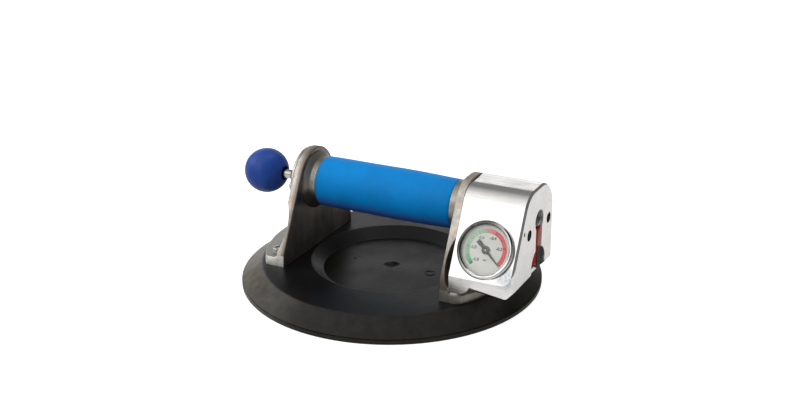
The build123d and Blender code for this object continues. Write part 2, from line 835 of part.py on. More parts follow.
def check_valve_spring():
    reach = sqrt((check_ball_radius + check_spring_wire / 2 + mould_gap)**2 - check_spring_radius**2)
    end = check_ball_x - reach + check_spring_wire / 2
    return coil_x(check_spring_radius, check_spring_wire, check_spring_turns, retainer_face, end, axis_height)


def lever_arm():
    foot = block_bottom + lever_foot_rise
    top = pin_height + knuckle_radius
    body = box_between((lever_back, -lever_half, foot), (lever_back + lever_thickness, lever_half, top))
    body += box_between((lever_back, -knuckle_half, pin_height - knuckle_radius), (pin_x, knuckle_half, top))
    body += rod_y(knuckle_radius, -knuckle_half, knuckle_half, pin_x, pin_height)
    return body - rod_y(pin_radius + running_clearance, -knuckle_half, knuckle_half, pin_x, pin_height)


def lever_pad():
    back = lever_back + lever_thickness
    foot = block_bottom + pad_foot_rise
    top = pin_height - pad_top_drop
    face = back + pad_thickness
    corners = [(back, foot), (face - pad_lean, foot), (face, top - pad_kick_height)]
    corners += [(face + pad_kick, top), (back, top)]
    section = Plane.XZ * make_face(Polyline(*corners, close=True))
    body = extrude(section, amount=pad_half, both=True)
    body = fillet(body.edges().filter_by(Axis.X).group_by(Axis.Z)[0], pad_foot_round)
    return fillet([e for e in body.edges() if e.center().X > face - pad_lean - pad_round], pad_round)


def vent_filter():
    start = block_end - scoop_depth
    end = start + filter_thickness
    radius = scoop_radius - seat_clearance
    body = rod_x(radius, start, end, 0, scoop_height)
    body += box_between((start, -radius, block_bottom + filter_thickness), (end, radius, scoop_height))
    body -= box_between((start, -radius, 0), (end, radius, block_bottom + filter_thickness))
    return body - box_between((start, -filter_slot_half, 0), (end, filter_slot_half, axis_height))


def vent_stem():
    guide_start = vent_seal_back + vent_seal_thickness
    guide_end = guide_start + vent_guide_length
    body = rod_x(vent_stem_radius, vent_flange_back - vent_tail_length, vent_tip, 0, vent_height)
    body = fillet(body.edges().group_by(Axis.X)[-1], 0.6 * vent_stem_radius)
    body += rod_x(vent_flange_radius, vent_flange_back, vent_seal_back, 0, vent_height)
    guide = rod_x(vent_guide_radius, guide_start, guide_end, 0, vent_height)
    for third in range(3):
        turn = radians(120 * third)
        y = vent_guide_radius * cos(turn)
        z = vent_height + vent_guide_radius * sin(turn)
        guide -= rod_x(vent_flute_radius, guide_start, guide_end, y, z)
    return body + guide


def vent_seal():
    end = vent_seal_back + vent_seal_thickness
    body = rod_x(vent_flange_radius, vent_seal_back, end, 0, vent_height)
    return body - rod_x(vent_stem_radius + mould_gap, vent_seal_back, end, 0, vent_height)


def vent_seat():
    body = rod_x(vent_bore_radius, vent_seat_face, slot_back, 0, vent_height)
    return body - rod_x(vent_guide_radius + running_clearance, vent_seat_face, slot_back, 0, vent_height)


def vent_spring():
    start = vent_end + seat_clearance
    end = vent_flange_back - seat_clearance
    return coil_x(vent_spring_radius, vent_spring_wire, vent_spring_turns, start, end, vent_height)


def suction_nipple():
    start = cavity_depth + contact_gap
    return rod_z(nipple_radius, start, nipple_top, nipple_x) - rod_z(nipple_bore, start, nipple_top, nipple_x)


def nipple_seal():
    body = rod_z(nipple_radius + nipple_seal_wall, foot_top, block_bottom, nipple_x)
    return body - rod_z(nipple_radius + mould_gap, foot_top, block_bottom, nipple_x)


def gauge_case():
    outer = case_radius
    upper = case_radius - case_wall
    lower = upper - case_ledge
    neck = socket_neck_radius + mould_gap
    return spun_z([
        (neck, case_bottom), (outer, case_bottom), (outer, case_rise), (upper, case_rise),
        (upper, dial_bottom), (lower, dial_bottom), (lower, case_inside), (neck, case_inside),
    ])


def gauge_bezel():
    # A rolled ring that holds the window down, its lip rounded on both sides.
    inner = case_radius + case_clearance
    glass_top = case_rise + window_thickness
    section = FilletPolyline(
        (inner, 0), (bezel_radius, 0), (bezel_radius, bezel_height), (view_radius, bezel_height),
        (view_radius, glass_top), (inner, glass_top),
        radius=[0, 0, bezel_outer_round, bezel_inner_round, 0, 0], close=True,
    )
    return revolve(Plane.XZ * make_face(section.edges()), Axis.Z)


def gauge_window():
    return rod_z(case_radius - case_clearance, case_rise, case_rise + window_thickness)


def gauge_dial():
    radius = case_radius - case_wall - 2 * case_clearance
    return rod_z(radius, dial_bottom, dial_top) - rod_z(dial_hole_radius, dial_bottom, dial_top)


def gauge_needle():
    corners = [
        (-needle_tail, -needle_tail_half), (0, -needle_root_half), (needle_length, -needle_tip_half),
        (needle_length, needle_tip_half), (0, needle_root_half), (-needle_tail, needle_tail_half),
    ]
    blade = extrude(make_face(Polyline(*corners, close=True)), amount=needle_thickness)
    body = Pos(0, 0, needle_bottom) * blade
    body += rod_z(needle_hub_radius, needle_bottom, needle_bottom + needle_hub_height)
    body -= rod_z(spindle_radius + mould_gap, needle_bottom, needle_bottom + needle_hub_height)
    return Rot(0, 0, needle_start) * body


def tooth(pitch_radius, angle, low, high):
    # One straight-sided tooth across a pitch circle, pointing along an angle.
    half = tooth_share * pi * tooth_module / 2
    inner = pitch_radius - 1.2 * dedendum_share * tooth_module
    outer = pitch_radius + addendum_share * tooth_module
    corners = [(inner, -1.3 * half), (outer, -0.7 * half), (outer, 0.7 * half), (inner, 1.3 * half)]
    flat = make_face(Polyline(*corners, close=True))
    return Rot(0, 0, angle) * (Pos(0, 0, low) * extrude(flat, amount=high - low))


def needle_pinion():
    low = sector_bottom - pinion_overhang
    high = sector_top + pinion_overhang
    body = rod_z(pinion_pitch_radius - dedendum_share * tooth_module, low, high)
    step = 360 / pinion_teeth
    for i in range(pinion_teeth):
        body += tooth(pinion_pitch_radius, -90 + step * (i + 0.5), low, high)
    return body + rod_z(spindle_radius, base_top + seat_clearance, needle_bottom + needle_hub_height)


def sector_gear():
    root = sector_pitch_radius - dedendum_share * tooth_module
    low = 90 - tooth_step * (sector_teeth_before + 0.5)
    high = 90 + tooth_step * (sector_teeth_after + 0.5)
    rim = [(root * cos(radians(t)), root * sin(radians(t))) for t in (low, (low + high) / 2, high)]
    sides = Polyline(rim[2], (0, 0), rim[0])
    fan = extrude(make_face(sides.edges() + [ThreePointArc(*rim)]), amount=sector_thickness)
    body = Pos(0, 0, sector_bottom) * fan + rod_z(sector_hub_radius, sector_bottom, sector_top)
    for i in range(-sector_teeth_before, sector_teeth_after + 1):
        body += tooth(sector_pitch_radius, 90 + tooth_step * i, sector_bottom, sector_top)
    tail = (tail_end[0], tail_end[1] - sector_pivot[1])
    body += strap((0, 0), tail, sector_tail_radius, sector_bottom, sector_top)
    body -= rod_z(sector_pin_radius + running_clearance, sector_bottom, sector_top)
    body -= rod_z(link_pin_radius + running_clearance, sector_bottom, sector_top, *tail)
    return Pos(*sector_pivot) * body


def sector_pin():
    return rod_z(sector_pin_radius, base_top, sector_top + link_gap, *sector_pivot)


def gauge_link():
    low = sector_top + link_gap
    body = strap(tail_end, tube_tip, link_half, low, low + link_thickness)
    return body + rod_z(link_pin_radius, sector_bottom, low, *tail_end)


def bourdon_tube():
    high = sector_top
    low = high - tube_height
    outer = rod_z(tube_mid_radius + tube_strip / 2, low, high)
    ring = outer - rod_z(tube_mid_radius - tube_strip / 2, low, high)
    corners = [(0, 0), (3 * tube_root[0], 3 * tube_root[1]), (3 * tube_tip[0], 3 * tube_tip[1])]
    gap = extrude(make_face(Polyline(*corners, close=True)), amount=tube_height)
    return ring - Pos(0, 0, low) * gap


def movement_plate():
    body = strap((0, 0), sector_pivot, movement_half, base_top, movement_top)
    body -= rod_z(spindle_radius + running_clearance, base_top, movement_top)
    return body - rod_z(sector_pin_radius + mould_gap, base_top, movement_top, *sector_pivot)


def gauge_socket():
    stem_end = case_bottom - socket_length
    half = movement_half + 2 * seat_clearance
    body = rod_z(socket_radius, stem_end, case_bottom) + rod_z(socket_neck_radius, case_bottom, base_top)
    body += strap((0, 0), tube_root, half, case_inside, base_top)
    body += strap((0, 0), sector_pivot, half, case_inside, base_top)
    body += rod_z(pillar_radius, base_top, sector_top + link_gap, *tube_root)
    body -= bourdon_tube()
    return body - rod_z(cross_channel_radius, stem_end, case_inside)


parts = {
    "suction_disc": suction_disc(),
    "backing_plate": backing_plate(),
    "left_bracket": left_bracket(),
    "right_bracket": right_bracket(),
    "left_weld_collar": weld_collar(left_collar_length, -1),
    "right_weld_collar": weld_collar(right_collar_length, 1),
    "handle_tube": ring_x(tube_radius, tube_radius - tube_wall, -bracket_inside, bracket_inside),
    "grip_sleeve": grip_sleeve(),
    "pump_cylinder": ring_x(
        cylinder_radius, cylinder_bore, gasket_thickness - bracket_outside, bracket_outside - gasket_thickness
    ),
    "cylinder_gaskets": cylinder_gaskets(),
    "end_cover": end_cover(),
    "cover_gasket": cover_plate(cover_inner, -bracket_outside, cylinder_radius + seat_clearance),
    "cover_screws": cover_screws(),
    "foot_screws": foot_screws(),
    "rod_guide": rod_guide(),
    "rod_seal": ring_x(rod_seal_radius, rod_bore, guide_inner - rod_seal_length, guide_inner),
    "rear_buffer": ring_x(
        cylinder_bore - seat_clearance, rod_radius + 2 * seat_clearance, guide_inner, buffer_front
    ),
    "pump_rod": pump_rod(),
    "piston": piston(),
    "piston_cup": piston_cup(),
    "piston_nut": piston_nut(),
    "ball_knob": ball_knob(),
    "knob_insert": knob_insert(),
    "valve_block": valve_block(),
    "block_screws": block_screws(),
    "gauge_set_screw": gauge_set_screw(),
    "check_valve_seat": check_valve_seat(),
    "check_valve_ball": Pos(check_ball_x, 0, axis_height) * Sphere(check_ball_radius),
    "check_valve_spring": check_valve_spring(),
    "check_valve_retainer": check_valve_retainer(),
    "lever_arm": lever_arm(),
    "lever_pad": lever_pad(),
    "lever_pin": rod_y(pin_radius, -hole_radius - pin_grip, hole_radius + pin_grip, pin_x, pin_height),
    "vent_filter": vent_filter(),
    "vent_stem": vent_stem(),
    "vent_seal": vent_seal(),
    "vent_seat": vent_seat(),
    "vent_spring": vent_spring(),
    "suction_nipple": suction_nipple(),
    "nipple_seal": nipple_seal(),
    "channel_plug": rod_x(
        cross_channel_radius - mould_gap, slot_back_lower - plug_length, slot_back_lower, 0, cross_height
    ),
    "gauge_case": gauge_place * gauge_case(),
    "gauge_bezel": gauge_place * gauge_bezel(),
    "gauge_window": gauge_place * gauge_window(),
    "gauge_dial": gauge_place * gauge_dial(),
    "gauge_needle": gauge_place * gauge_needle(),
    "needle_pinion": gauge_place * needle_pinion(),
    "sector_gear": gauge_place * sector_gear(),
    "sector_pin": gauge_place * sector_pin(),
    "gauge_link": gauge_place * gauge_link(),
    "bourdon_tube": gauge_place * bourdon_tube(),
    "movement_plate": gauge_place * movement_plate(),
    "gauge_socket": gauge_place * gauge_socket(),
}

os.makedirs("parts", exist_ok=True)
for name, shape in parts.items():
    export_step(shape, "parts/" + name + ".step")

pivots = {
    "lever": (pin_x, 0, pin_height), "gauge": (gauge_x, gauge_y, gauge_z),
    "sector": tuple((gauge_place * Pos(*sector_pivot)).position),
    "link": tuple((gauge_place * Pos(*tail_end)).position),
}
for name, place in pivots.items():
    print(name, [round(value, 4) for value in place])
print("pump stroke", round(pump_stroke, 2), "check lift", check_lift, "needle sweep", needle_sweep)
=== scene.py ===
import bpy
import bmesh
import json
from math import radians, cos, sin, pi
from mathutils import Matrix, Vector, Quaternion


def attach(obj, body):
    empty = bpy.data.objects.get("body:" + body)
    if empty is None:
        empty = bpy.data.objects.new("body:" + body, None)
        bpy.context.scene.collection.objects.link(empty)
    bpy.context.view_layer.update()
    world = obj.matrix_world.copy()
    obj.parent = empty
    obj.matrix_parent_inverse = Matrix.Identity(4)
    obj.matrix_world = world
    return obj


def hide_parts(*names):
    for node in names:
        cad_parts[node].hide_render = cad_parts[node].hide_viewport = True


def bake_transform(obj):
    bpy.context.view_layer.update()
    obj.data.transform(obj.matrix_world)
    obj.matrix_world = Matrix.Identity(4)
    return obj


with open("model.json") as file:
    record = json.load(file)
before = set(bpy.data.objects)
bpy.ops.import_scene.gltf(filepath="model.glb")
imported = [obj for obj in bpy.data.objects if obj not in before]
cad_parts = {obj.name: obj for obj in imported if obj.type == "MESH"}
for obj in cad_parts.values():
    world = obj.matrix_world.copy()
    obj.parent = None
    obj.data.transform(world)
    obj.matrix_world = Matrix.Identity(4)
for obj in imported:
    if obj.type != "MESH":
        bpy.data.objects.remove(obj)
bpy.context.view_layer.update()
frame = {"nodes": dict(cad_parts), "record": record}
nodes = frame["nodes"]
print("frame loaded:", len(nodes), "nodes")

mm = 0.001  # the dial is drawn in millimetres
mergeGap = 1e-7  # points nearer than this, in metres, become one
bumpDepth = 0.0002  # the full height of every bump, in metres


# node helpers

def addNode(tree, kind, **values):
    node = tree.nodes.new(kind)
    for key, value in values.items():
        setattr(node, key, value)
    return node


def feed(tree, target, source):
    # a plain number or colour goes on the socket, an output is linked
    if isinstance(source, bpy.types.NodeSocket):
        tree.links.new(source, target)
    elif isinstance(source, (tuple, list)) and target.type == "RGBA":
        target.default_value = (*source, 1.0)
    else:
        target.default_value = source


def calc(tree, operation, first, second=0.0, clamp=False):
    node = addNode(tree, "ShaderNodeMath", operation=operation, use_clamp=clamp)
    feed(tree, node.inputs[0], first)
    feed(tree, node.inputs[1], second)
    return node.outputs[0]


def allOf(tree, first, *others):
    # masks that must all hold
    for other in others:
        first = calc(tree, "MULTIPLY", first, other)
    return first


def addShares(tree, first, second, shares):
    return calc(tree, "ADD", calc(tree, "MULTIPLY", first, shares[0]), calc(tree, "MULTIPLY", second, shares[1]))


def addSquares(tree, first, second):
    return calc(tree, "ADD", calc(tree, "POWER", first, 2.0), calc(tree, "POWER", second, 2.0))


def vectorCalc(tree, operation, first, second=(0.0, 0.0, 0.0)):
    node = addNode(tree, "ShaderNodeVectorMath", operation=operation)
    feed(tree, node.inputs[0], first)
    feed(tree, node.inputs[1], second)
    return node.outputs


def splitAxes(tree, vector):
    node = addNode(tree, "ShaderNodeSeparateXYZ")
    feed(tree, node.inputs[0], vector)
    return list(node.outputs)


def blendColour(tree, amount, first, second):
    node = addNode(tree, "ShaderNodeMix", data_type="RGBA")
    feed(tree, node.inputs[0], amount)
    feed(tree, node.inputs[6], first)
    feed(tree, node.inputs[7], second)
    return node.outputs[2]


def spread(tree, value, low, high, outLow=0.0, outHigh=1.0):
    node = addNode(tree, "ShaderNodeMapRange", clamp=True)
    for socket, source in zip(node.inputs, (value, low, high, outLow, outHigh)):
        feed(tree, socket, source)
    return node.outputs[0]


def between(tree, amount, first, second):
    return spread(tree, amount, 0.0, 1.0, first, second)


def newGroup(name, inputs, outputs):
    group = bpy.data.node_groups.new(name, "ShaderNodeTree")
    for title, kind, value in inputs:
        socket = group.interface.new_socket(title, in_out="INPUT", socket_type=kind)
        if value is not None:
            socket.default_value = value
    for title in outputs:
        group.interface.new_socket(title, in_out="OUTPUT", socket_type="NodeSocketFloat")
    return group, addNode(group, "NodeGroupInput"), addNode(group, "NodeGroupOutput")


def place(tree, group, **values):
    node = addNode(tree, "ShaderNodeGroup", node_tree=group)
    for key, value in values.items():
        feed(tree, node.inputs[key], value)
    return node.outputs


# shared surface effects
mottleLook = {"scale": 60.0, "low": 0.35, "high": 0.65, "detail": 5.0, "rough": 0.6}
linesLook = {"stretch": (40.0, 40.0, 900.0), "detail": 4.0, "rough": 0.65, "low": 0.34, "high": 0.66}
grainLook = {"scale": 1500.0, "detail": 3.0, "pitScale": 0.35, "pitReach": 0.22, "pitDepth": 0.35}


def makeMottle():
    # soft cloudy patches, the uneven tone of a real surface
    look = mottleLook
    group, start, end = newGroup(
        "mottledTone",
        [("Vector", "NodeSocketVector", None), ("Scale", "NodeSocketFloat", look["scale"]),
         ("Low", "NodeSocketFloat", look["low"]), ("High", "NodeSocketFloat", look["high"])],
        ["Mask"],
    )
    noise = addNode(group, "ShaderNodeTexNoise")
    noise.inputs["Detail"].default_value = look["detail"]
    noise.inputs["Roughness"].default_value = look["rough"]
    group.links.new(start.outputs["Vector"], noise.inputs["Vector"])
    group.links.new(start.outputs["Scale"], noise.inputs["Scale"])
    mask = spread(group, noise.outputs[0], start.outputs["Low"], start.outputs["High"])
    group.links.new(mask, end.inputs["Mask"])
    return group


def makeLines():
    # long fine lines left by rolling, turning or milling
    look = linesLook
    group, start, end = newGroup(
        "workedLines",
        [("Vector", "NodeSocketVector", None), ("Stretch", "NodeSocketVector", look["stretch"])],
        ["Mask", "Height"],
    )
    pulled = vectorCalc(group, "MULTIPLY", start.outputs["Vector"], start.outputs["Stretch"])["Vector"]
    noise = addNode(group, "ShaderNodeTexNoise")
    noise.inputs["Scale"].default_value = 1.0
    noise.inputs["Detail"].default_value = look["detail"]
    noise.inputs["Roughness"].default_value = look["rough"]
    group.links.new(pulled, noise.inputs["Vector"])
    group.links.new(spread(group, noise.outputs[0], look["low"], look["high"]), end.inputs["Mask"])
    group.links.new(noise.outputs[0], end.inputs["Height"])
    return group


def makeGrain():
    # fine pebbled skin with a few pits
    look = grainLook
    group, start, end = newGroup(
        "fineGrain",
        [("Vector", "NodeSocketVector", None), ("Scale", "NodeSocketFloat", look["scale"])],
        ["Height", "Pits"],
    )
    noise = addNode(group, "ShaderNodeTexNoise")
    noise.inputs["Detail"].default_value = look["detail"]
    group.links.new(start.outputs["Vector"], noise.inputs["Vector"])
    group.links.new(start.outputs["Scale"], noise.inputs["Scale"])
    cells = addNode(group, "ShaderNodeTexVoronoi")
    group.links.new(start.outputs["Vector"], cells.inputs["Vector"])
    group.links.new(calc(group, "MULTIPLY", start.outputs["Scale"], look["pitScale"]), cells.inputs["Scale"])
    pits = spread(group, cells.outputs["Distance"], 0.0, look["pitReach"], 1.0, 0.0)
    height = calc(group, "SUBTRACT", noise.outputs[0], calc(group, "MULTIPLY", pits, look["pitDepth"]))
    group.links.new(height, end.inputs["Height"])
    group.links.new(pits, end.inputs["Pits"])
    return group


mottledTone = makeMottle()
workedLines = makeLines()
fineGrain = makeGrain()


def mottle(tree, spot, scale, low=mottleLook["low"], high=mottleLook["high"]):
    return place(tree, mottledTone, Vector=spot, Scale=scale, Low=low, High=high)["Mask"]


def newMaterial(name):
    material = bpy.data.materials.new(name)
    material.use_nodes = True
    tree = material.node_tree
    shader = tree.nodes["Principled BSDF"]
    where = addNode(tree, "ShaderNodeTexCoord")
    return material, tree, shader, where


def addBump(tree, shader, height, strength):
    bump = addNode(tree, "ShaderNodeBump")
    bump.inputs["Strength"].default_value = strength
    bump.inputs["Distance"].default_value = bumpDepth
    tree.links.new(height, bump.inputs["Height"])
    tree.links.new(bump.outputs[0], shader.inputs["Normal"])


# plain finishes: two tones in soft patches, a roughness that follows them, and either grain or worked lines
plainLook = {"toneShares": (0.5, 0.5), "pitShare": 0.4}


def plainFinish(
    name, dark, light, rough, metal=0.0, mottleScale=mottleLook["scale"], grain=grainLook["scale"],
    bump=0.15, lines=None, specular=0.5,
):
    material, tree, shader, where = newMaterial(name)
    spot = where.outputs["Object"]
    patch = mottle(tree, spot, mottleScale)
    if lines:
        drawn = place(tree, workedLines, Vector=spot, Stretch=lines)
        tone = addShares(tree, patch, drawn["Mask"], plainLook["toneShares"])
        height = drawn["Height"]
    else:
        skin = place(tree, fineGrain, Vector=spot, Scale=grain)
        tone = calc(tree, "SUBTRACT", patch, calc(tree, "MULTIPLY", skin["Pits"], plainLook["pitShare"]), clamp=True)
        height = skin["Height"]
    feed(tree, shader.inputs["Base Color"], blendColour(tree, tone, dark, light))
    feed(tree, shader.inputs["Roughness"], between(tree, tone, rough[1], rough[0]))
    shader.inputs["Metallic"].default_value = metal
    shader.inputs["Specular IOR Level"].default_value = specular
    addBump(tree, shader, height, bump)
    return material


# suction disc: black moulded rubber, its sloped rim painted paler with dust and painted sheen, palest on the left
discLook = {
    "black": (0.0015, 0.0015, 0.0016), "worn": (0.0045, 0.0044, 0.0042),
    "rimDustAndSheen": (0.036, 0.032, 0.026), "leftDustAndSheen": (0.330, 0.300, 0.250),
    "rimSpan": (0.0895, 0.0912), "leftSpan": (-0.020, -0.098),
    "patchScale": 35.0, "grainScale": 1400.0, "streaks": (120.0, 0.3, 0.7), "dustShares": (0.30, 0.75),
    "rough": (0.32, 0.46), "specular": 0.21, "bump": 0.12,
}


def makeDiscRubber():
    look = discLook
    material, tree, shader, where = newMaterial("mouldedDiscRubber")
    spot = where.outputs["Object"]
    patch = mottle(tree, spot, look["patchScale"])
    skin = place(tree, fineGrain, Vector=spot, Scale=look["grainScale"])
    x, y = splitAxes(tree, spot)[:2]
    radius = calc(tree, "SQRT", addSquares(tree, x, y))
    # partly dust and partly painted sheen: the sloped rim is painted paler and browner in streaks
    rim = spread(tree, radius, *look["rimSpan"])
    streaks = mottle(tree, spot, *look["streaks"])
    dustAndSheenMask = calc(tree, "MULTIPLY", rim, between(tree, streaks, *look["dustShares"]))
    # painted sheen: the rim's pale colour is painted much paler still on the left, for light falling from the left
    leftSide = spread(tree, x, *look["leftSpan"])
    rimDustAndSheen = blendColour(tree, leftSide, look["rimDustAndSheen"], look["leftDustAndSheen"])
    body = blendColour(tree, patch, look["black"], look["worn"])
    feed(tree, shader.inputs["Base Color"], blendColour(tree, dustAndSheenMask, body, rimDustAndSheen))
    feed(tree, shader.inputs["Roughness"], between(tree, patch, *look["rough"]))
    shader.inputs["Specular IOR Level"].default_value = look["specular"]
    addBump(tree, shader, skin["Height"], look["bump"])
    return material


# brackets: raw rolled plate, dark on its faces, with paler sawn edges that have a tan tint; some edges carry painted
# shade
bracketLook = {
    "scale": (0.13, 0.114, 0.098), "scaleLight": (0.42, 0.375, 0.33), "faceShares": (0.75, 0.25),
    "foot": (0.32, 0.31, 0.28), "footLight": (0.50, 0.49, 0.45), "footTop": 0.0215,
    "cut": (0.45, 0.41, 0.365), "cutLight": (0.94, 0.90, 0.85), "cutShares": (0.7, 0.3),
    "tan": (0.72, 0.50, 0.30), "tanShare": 0.8,
    "roll": (0.27, 0.225, 0.18), "innerEdgeShadeSpan": (-0.0624, -0.0606), "innerEdgeShadeShare": 0.8,
    "footEnd": (0.64, 0.64, 0.58), "footEndLight": (0.93, 0.94, 0.87),
    "darkCutEdge": (0.105, 0.093, 0.073), "lowRightShadeSpan": (0.058, 0.030), "lowRightShadeShare": 0.90, "lowRightShadeOnEnd": 0.85,
    "headSpan": (0.077, 0.087), "headShare": 0.5,
    "sideFacing": (0.55, 0.85), "topFacing": (0.8, 0.97), "endFacing": -0.7,
    "patch": (45.0, 0.3, 0.7), "smoke": (170.0, 0.32, 0.66), "tint": (95.0, 0.46, 0.66), "cloud": (26.0, 0.36, 0.68),
    "rolled": (60.0, 420.0, 30.0), "sawn": (1500.0, 35.0, 35.0),
    "roughCut": 0.52, "roughFace": 0.36, "roughPatch": 0.12, "metal": 0.9, "rolledBump": 0.3, "bump": 0.12,
}


def makeBracketSteel():
    look = bracketLook
    material, tree, shader, where = newMaterial("rolledBracketSteel")
    spot = where.outputs["Object"]
    faceX, faceY, faceZ = splitAxes(tree, where.outputs["Normal"])
    x, _, z = splitAxes(tree, spot)
    sideFace = spread(tree, calc(tree, "ABSOLUTE", faceX), *look["sideFacing"])
    low = calc(tree, "LESS_THAN", z, look["footTop"])
    footFace = calc(tree, "MULTIPLY", spread(tree, faceZ, *look["topFacing"]), low)
    face = calc(tree, "MAXIMUM", sideFace, footFace)
    patch, smoke, tint, cloud = (mottle(tree, spot, *look[key]) for key in ("patch", "smoke", "tint", "cloud"))
    rolled = place(tree, workedLines, Vector=spot, Stretch=look["rolled"])
    sawn = place(tree, workedLines, Vector=spot, Stretch=look["sawn"])
    faceTone = addShares(tree, cloud, rolled["Mask"], look["faceShares"])
    faceColour = blendColour(tree, faceTone, look["scale"], look["scaleLight"])
    footColour = blendColour(tree, patch, look["foot"], look["footLight"])
    faceColour = blendColour(tree, footFace, faceColour, footColour)
    cutTone = addShares(tree, smoke, sawn["Mask"], look["cutShares"])
    cutColour = blendColour(tree, cutTone, look["cut"], look["cutLight"])
    cutColour = blendColour(tree, calc(tree, "MULTIPLY", tint, look["tanShare"]), cutColour, look["tan"])
    # painted shade: the inner half of the left edge is painted brown, for its rounding that turns away and reflects
    # darker
    innerEdgeShade = allOf(tree, spread(tree, x, *look["innerEdgeShadeSpan"]), calc(tree, "LESS_THAN", x, 0.0), look["innerEdgeShadeShare"])
    cutColour = blendColour(tree, innerEdgeShade, cutColour, look["roll"])
    # the ends of the feet are pale
    footEnd = calc(tree, "MULTIPLY", calc(tree, "LESS_THAN", faceY, look["endFacing"]), low)
    endColour = blendColour(tree, smoke, look["footEnd"], look["footEndLight"])
    cutColour = blendColour(tree, footEnd, cutColour, endColour)
    # painted shade: the low right edge, which lies in the block's shade, is painted dark; both heads are painted dark
    # too
    lowRightShade = spread(tree, z, *look["lowRightShadeSpan"], 0.0, look["lowRightShadeShare"])
    lowRightShade = allOf(tree, lowRightShade, calc(tree, "GREATER_THAN", x, 0.0), between(tree, footEnd, 1.0, look["lowRightShadeOnEnd"]))
    heads = spread(tree, z, *look["headSpan"], 0.0, look["headShare"])
    cutColour = blendColour(tree, calc(tree, "MAXIMUM", lowRightShade, heads), cutColour, look["darkCutEdge"])
    feed(tree, shader.inputs["Base Color"], blendColour(tree, face, cutColour, faceColour))
    rough = between(tree, face, look["roughCut"], look["roughFace"])
    feed(tree, shader.inputs["Roughness"], calc(tree, "ADD", rough, calc(tree, "MULTIPLY", patch, look["roughPatch"])))
    shader.inputs["Metallic"].default_value = look["metal"]
    rolledHeight = calc(tree, "MULTIPLY", rolled["Height"], calc(tree, "MULTIPLY", face, look["rolledBump"]))
    addBump(tree, shader, calc(tree, "ADD", rolledHeight, sawn["Height"]), look["bump"])
    return material


# collars and handle tube: dressed welds, bright brownish steel with straw and blue heat tints
weldLook = {
    "steel": (0.25, 0.23, 0.195), "bright": (0.46, 0.44, 0.39), "straw": (0.46, 0.36, 0.23), "blue": (0.30, 0.34, 0.37),
    "heatSpan": (0.0515, 0.0585), "heatShare": 0.55, "turned": (2200.0, 45.0, 45.0), "patchScale": 90.0,
    "rough": (0.34, 0.50), "bump": 0.10,
}


def makeWeldSteel():
    look = weldLook
    material, tree, shader, where = newMaterial("dressedWeldSteel")
    spot = where.outputs["Object"]
    turned = place(tree, workedLines, Vector=spot, Stretch=look["turned"])
    patch = mottle(tree, spot, look["patchScale"])
    heat = spread(tree, calc(tree, "ABSOLUTE", splitAxes(tree, spot)[0]), *look["heatSpan"])
    body = blendColour(tree, turned["Mask"], look["steel"], look["bright"])
    tinted = blendColour(tree, patch, look["straw"], look["blue"])
    amount = calc(tree, "MULTIPLY", heat, look["heatShare"])
    feed(tree, shader.inputs["Base Color"], blendColour(tree, amount, body, tinted))
    feed(tree, shader.inputs["Roughness"], between(tree, patch, *look["rough"]))
    shader.inputs["Metallic"].default_value = 1.0
    addBump(tree, shader, turned["Height"], look["bump"])
    return material


# valve block: bright milled aluminium with faint cutter lines along its length
blockLook = {
    "grey": (0.73, 0.705, 0.67), "bright": (0.90, 0.88, 0.85), "toneShares": (0.55, 0.45),
    "cool": (0.66, 0.70, 0.73), "coolShare": 0.25,
    "milled": (45.0, 700.0, 700.0), "patchScale": 70.0, "speckle": (600.0, 0.4, 0.7),
    "smudge": (0.34, 0.38, 0.40), "smudgeSpot": (0.103, -0.043, 0.0375), "smudgeSpan": (0.0035, 0.0100),
    "smudgeFacing": -0.6, "smudgeShares": (0.55, 1.0),
    "slotHalf": 0.0076, "slotTop": 0.0687, "slotFacing": 0.5, "slotRough": 0.62,
    "edgeReflectionShade": (0.50, 0.51, 0.50), "edgeReflectionLow": 0.3, "edgeReflectionHigh": 0.92, "edgeReflectionUp": 0.2, "edgeReflectionRough": 0.5,
    "rough": (0.13, 0.24), "bump": 0.06,
}


